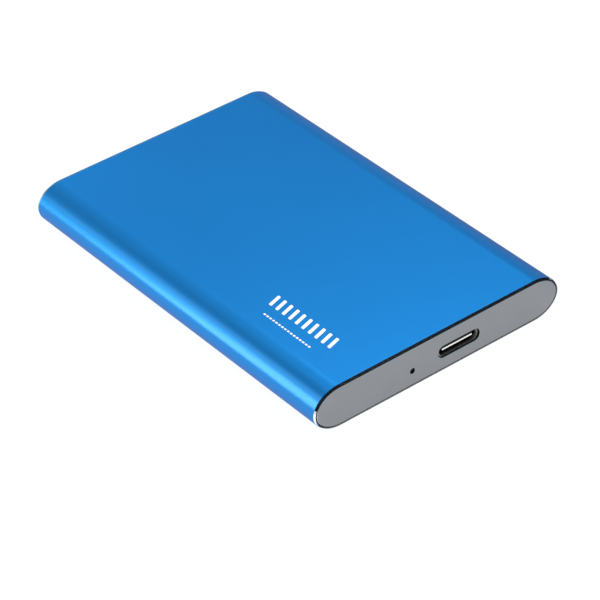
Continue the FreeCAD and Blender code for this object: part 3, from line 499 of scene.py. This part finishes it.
# Painted shade: the walls of the plate, its slot and its pinhole are dark grey.
tone = add(grey, "ShaderNodeMix", {
    "data_type": "RGBA", "A": linear("#2a2d31")}, {"Factor": sloped, "B": faces})
satin = add(grey, "ShaderNodeMapRange", {"To Min": 0.36, "To Max": 0.46}, {"Value": grain})
gloss = add(grey, "ShaderNodeMix", {
    "data_type": "FLOAT", "B": EDGE_ROUGHNESS}, {"Factor": broken, "A": satin})
bump = add(grey, "ShaderNodeBump", {"Strength": 0.3, "Distance": 0.004 * MM}, {"Height": grain})
feed(shader, {"Base Color": tone, "Roughness": gloss, "Normal": bump})
dress(grey, "front_plate", "rear_plate")


# Printed bars: a plain decoration on the top of the sleeve, near the front left corner.
# It is screen printed in one coat of white ink: a row of slanted bars with a row of short dashes beside it.

INK_THICKNESS = 0.012 * MM
BAR_COUNT = 10
BAR_LENGTH = 2.8 * MM
BAR_WIDTH = 0.7 * MM
BAR_PITCH = 1.75 * MM
BAR_SLANT = 0.3
BAR_MIDDLE = Vector((-15.2, -22.65, 0)) * MM
BAR_CORNER = 0.2 * MM
DASH_COUNT = 16
DASH_LENGTH = 0.5 * MM
DASH_WIDTH = 0.35 * MM
DASH_PITCH = 0.8 * MM
DASH_SLANT = 0.0
DASH_MIDDLE = Vector((-18.85, -22.65, 0)) * MM
DASH_CORNER = 0.1 * MM
print_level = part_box("sleeve")[1].z


def print_row(mesh, count, pitch, across, along, slant, middle, corner):
    """A row of rounded strips of ink that runs along the drive. Slant leans each strip along the row."""
    lean = Matrix.Identity(4)
    lean[1][0] = slant
    for i in range(count):
        centre = middle + Vector((0, (i - (count - 1) / 2) * pitch, print_level))
        shape = Matrix.Translation(centre) @ lean @ Matrix.Diagonal((across / 2, along / 2, 1, 1))
        strip = bmesh.ops.create_grid(mesh, x_segments=1, y_segments=1, size=1, matrix=shape)["verts"]
        bmesh.ops.bevel(mesh, geom=strip, offset=corner, offset_type="OFFSET", affect="VERTICES",
                        segments=4, profile=0.5, material=-1)


ink_mesh = bmesh.new()
print_row(ink_mesh, BAR_COUNT, BAR_PITCH, BAR_LENGTH, BAR_WIDTH, BAR_SLANT, BAR_MIDDLE, BAR_CORNER)
print_row(ink_mesh, DASH_COUNT, DASH_PITCH, DASH_WIDTH, DASH_LENGTH, DASH_SLANT, DASH_MIDDLE, DASH_CORNER)
raised = bmesh.ops.extrude_face_region(ink_mesh, geom=ink_mesh.faces[:], use_keep_orig=True)["geom"]
upper_face = [part for part in raised if isinstance(part, bmesh.types.BMVert)]
bmesh.ops.translate(ink_mesh, vec=(0, 0, INK_THICKNESS), verts=upper_face)
bmesh.ops.recalc_face_normals(ink_mesh, faces=ink_mesh.faces[:])
printed = bpy.data.objects.new("printed_bars", bpy.data.meshes.new("printed_bars"))
ink_mesh.to_mesh(printed.data)
ink_mesh.free()
bpy.context.collection.objects.link(printed)

# Screen printed white ink: an even, slightly chalky coat. The screen's mesh, 0.15 mm, leaves a faint texture.
SCREEN_MESH = 0.15 * MM
ink, shader = begin("screen_printed_white_ink", {"IOR": 1.5})
place = add(ink, "ShaderNodeTexCoord").node.outputs["Object"]
screen = add(ink, "ShaderNodeTexNoise", {"Scale": 1 / SCREEN_MESH, "Detail": 1.0}, {"Vector": place})
tone = add(ink, "ShaderNodeMix", {
    "data_type": "RGBA", "A": linear("#e9f1f7"), "B": linear("#f6fafc")}, {"Factor": screen})
dull = add(ink, "ShaderNodeMapRange", {"To Min": 0.45, "To Max": 0.6}, {"Value": screen})
feed(shader, {"Base Color": tone, "Roughness": dull})
printed.data.materials.append(ink)
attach(printed, "root")


# Floor: the lit white table that the drive lies on, a sheet of opal acrylic with light coming through it.
# Its own glow leaves only a faint shadow round the drive. It lies a hair below the drive's underside.

FLOOR_SIZE = 6.0
FLOOR_LEVEL = -0.05 * MM
bpy.ops.mesh.primitive_plane_add(size=FLOOR_SIZE, location=(0, 0, FLOOR_LEVEL))
floor = bpy.context.object
floor.name = "floor"

# Lit opal acrylic: an even white glow, which metal mirrors dimmer, because the sheet glows mostly upward.
# It is dimmest on the right. A pool of light by the front left corner shows in the cut edge there as a white
# crescent. From below the sheet is clear, so the underside of the drive shows.
FLOOR_GLOW = 0.93
FLOOR_IN_METAL = 0.64
LEFT_IN_METAL = 0.76
RIGHT_LOSS = 0.32
LEFT_FADE = (-30 * MM, -24 * MM)
RIGHT_FADE = (30 * MM, 42 * MM)
POOL_GLOW = 1.3
POOL_MIDDLE = Vector((-36, -41, 0)) * MM
POOL_REACH = Vector((13, 5, 1)) * MM
POOL_FULL = 0.75
POOL_END = 1.1
opal, shader = begin("lit_opal_acrylic", {
    "Base Color": linear("#606060"), "Roughness": 0.9, "Specular IOR Level": 0.0,
    "Emission Color": linear("#ffffff")})
reflected = add(opal, "ShaderNodeLightPath").node.outputs["Is Glossy Ray"]
place = add(opal, "ShaderNodeTexCoord").node.outputs["Object"]
across = add(opal, "ShaderNodeSeparateXYZ", links={"Vector": place}).node.outputs["X"]
from_left = add(opal, "ShaderNodeMapRange", {
    "From Min": LEFT_FADE[0], "From Max": LEFT_FADE[1],
    "To Min": LEFT_IN_METAL, "To Max": FLOOR_IN_METAL}, {"Value": across})
to_right = add(opal, "ShaderNodeMapRange", {
    "From Min": RIGHT_FADE[0], "From Max": RIGHT_FADE[1],
    "To Min": 0.0, "To Max": RIGHT_LOSS}, {"Value": across})
in_metal = add(opal, "ShaderNodeMath", {"operation": "SUBTRACT"}, {0: from_left, 1: to_right})
sheet = add(opal, "ShaderNodeMix", {
    "data_type": "FLOAT", "A": FLOOR_GLOW}, {"Factor": reflected, "B": in_metal})
from_pool = add(opal, "ShaderNodeVectorMath", {"operation": "SUBTRACT", 1: POOL_MIDDLE}, {0: place})
in_reaches = add(opal, "ShaderNodeVectorMath", {"operation": "DIVIDE", 1: POOL_REACH}, {0: from_pool})
distance = add(opal, "ShaderNodeVectorMath", {"operation": "LENGTH"}, {0: in_reaches})
pool = add(opal, "ShaderNodeMapRange", {
    "interpolation_type": "SMOOTHSTEP", "From Min": POOL_FULL, "From Max": POOL_END,
    "To Min": POOL_GLOW, "To Max": 0.0}, {"Value": distance})
glow = add(opal, "ShaderNodeMath", {"operation": "MAXIMUM"}, {0: sheet, 1: pool})
feed(shader, {"Emission Strength": glow})
below = add(opal, "ShaderNodeNewGeometry").node.outputs["Backfacing"]
clear = add(opal, "ShaderNodeBsdfTransparent")
one_sided = add(opal, "ShaderNodeMixShader", {}, {0: below, 1: shader.outputs["BSDF"], 2: clear})
opal.node_tree.links.new(one_sided, opal.node_tree.nodes["Material Output"].inputs["Surface"])
floor.data.materials.append(opal)


# Light: a white room with soft boxes round the drive. Three warm ones to the left draw the bright line along
# its side, and four behind it, above it and to its right light the top without whitening it. Metal sees the
# room as a dim, cool grey, with a dark strip overhead that draws the dark line along the cut edges.

# The strip is where a direction's product with STRIP_ACROSS lies within STRIP_HALF of STRIP_MIDDLE.
WARM_WHITE = "#ffe4d8"
ROOM_GLOW = 1.1
ROOM_IN_METAL = "#96b3b6"
STRIP_IN_METAL = "#0d1424"
STRIP_ACROSS = (-0.145, 1.0, 0.2)
STRIP_MIDDLE = 0.127
STRIP_HALF = 0.1
STRIP_FADE = 0.07
room = bpy.data.worlds.new("white_room")
room.use_nodes = True
bpy.context.scene.world = room
direction = add(room, "ShaderNodeTexCoord").node.outputs["Generated"]
forward = add(room, "ShaderNodeVectorMath", {"operation": "DOT_PRODUCT", 1: STRIP_ACROSS}, {0: direction})
from_strip = add(room, "ShaderNodeMath", {"operation": "SUBTRACT", 1: STRIP_MIDDLE}, {0: forward})
beside = add(room, "ShaderNodeMath", {"operation": "ABSOLUTE"}, {0: from_strip})
clear = add(room, "ShaderNodeMapRange", {
    "interpolation_type": "SMOOTHSTEP",
    "From Min": STRIP_HALF, "From Max": STRIP_HALF + STRIP_FADE}, {"Value": beside})
in_metal = add(room, "ShaderNodeMix", {
    "data_type": "RGBA", "A": linear(STRIP_IN_METAL), "B": linear(ROOM_IN_METAL)}, {"Factor": clear})
reflected = add(room, "ShaderNodeLightPath").node.outputs["Is Glossy Ray"]
glow = add(room, "ShaderNodeMix", {
    "data_type": "RGBA", "A": (ROOM_GLOW, ROOM_GLOW, ROOM_GLOW, 1)}, {"Factor": reflected, "B": in_metal})
room.node_tree.links.new(glow, room.node_tree.nodes["Background"].inputs["Color"])


def soft_box(name, azimuth, elevation, width, height, radiance, tint="#ffffff"):
    """A soft light one metre away that faces the drive. Azimuth 0 is behind the drive, 90 to its right."""
    turn, rise = math.radians(azimuth), math.radians(elevation)
    toward = Vector((math.sin(turn) * math.cos(rise), math.cos(turn) * math.cos(rise), math.sin(rise)))
    lamp = bpy.data.lights.new(name, "AREA")
    lamp.shape = "RECTANGLE"
    lamp.size, lamp.size_y = width, height
    lamp.energy = radiance * math.pi * width * height
    lamp.color = linear(tint)[:3]
    light = bpy.data.objects.new(name, lamp)
    light.matrix_world = Matrix.Translation(toward) @ toward.to_track_quat("Z", "Y").to_matrix().to_4x4()
    bpy.context.collection.objects.link(light)


soft_box("left_low_soft_box", azimuth=-50, elevation=9, width=0.5, height=0.42, radiance=0.45,
         tint=WARM_WHITE)
soft_box("left_high_soft_box", azimuth=-46, elevation=36, width=0.34, height=0.42, radiance=1.1,
         tint=WARM_WHITE)
soft_box("left_strip_box", azimuth=-51.5, elevation=12, width=0.13, height=0.66, radiance=4.9,
         tint=WARM_WHITE)
soft_box("rear_soft_box", azimuth=15, elevation=18, width=0.42, height=0.26, radiance=4.1)
soft_box("rear_right_soft_box", azimuth=50, elevation=9, width=0.34, height=0.4, radiance=0.14)
soft_box("upper_soft_box", azimuth=18, elevation=68, width=0.4, height=0.3, radiance=1.4)
soft_box("right_soft_box", azimuth=53, elevation=57, width=0.42, height=0.36, radiance=3.2)


# Camera: a long lens in front of the drive and to its left, looking down on the front corner.
# The place and the turn put the drive where the photograph shows it.

FRAME_PIXELS = 600
FOCAL_PIXELS = 2893.8141
SENSOR = 36.0
CAMERA_DISTANCE = 506.7686 * MM
CAMERA_AZIMUTH = math.radians(-37.1913)
CAMERA_ELEVATION = math.radians(36.6772)
CAMERA_ROLL = math.radians(-2.5083)
LOOK_AT = Vector((-5.0345, -8.472, 0)) * MM
level_back = Vector((math.sin(CAMERA_AZIMUTH), -math.cos(CAMERA_AZIMUTH), 0))
back = math.cos(CAMERA_ELEVATION) * level_back + Vector((0, 0, math.sin(CAMERA_ELEVATION)))
level_right = Vector((math.cos(CAMERA_AZIMUTH), math.sin(CAMERA_AZIMUTH), 0))
level_up = back.cross(level_right)
right = math.cos(CAMERA_ROLL) * level_right + math.sin(CAMERA_ROLL) * level_up
up = math.cos(CAMERA_ROLL) * level_up - math.sin(CAMERA_ROLL) * level_right
lens = bpy.data.cameras.new("camera")
lens.sensor_width = SENSOR
lens.lens = FOCAL_PIXELS / FRAME_PIXELS * SENSOR
camera = bpy.data.objects.new("camera", lens)
turned = Matrix((right, up, back)).transposed().to_4x4()
camera.matrix_world = Matrix.Translation(LOOK_AT + back * CAMERA_DISTANCE) @ turned
bpy.context.collection.objects.link(camera)
bpy.context.scene.camera = camera
bpy.context.scene.view_settings.view_transform = "Standard"
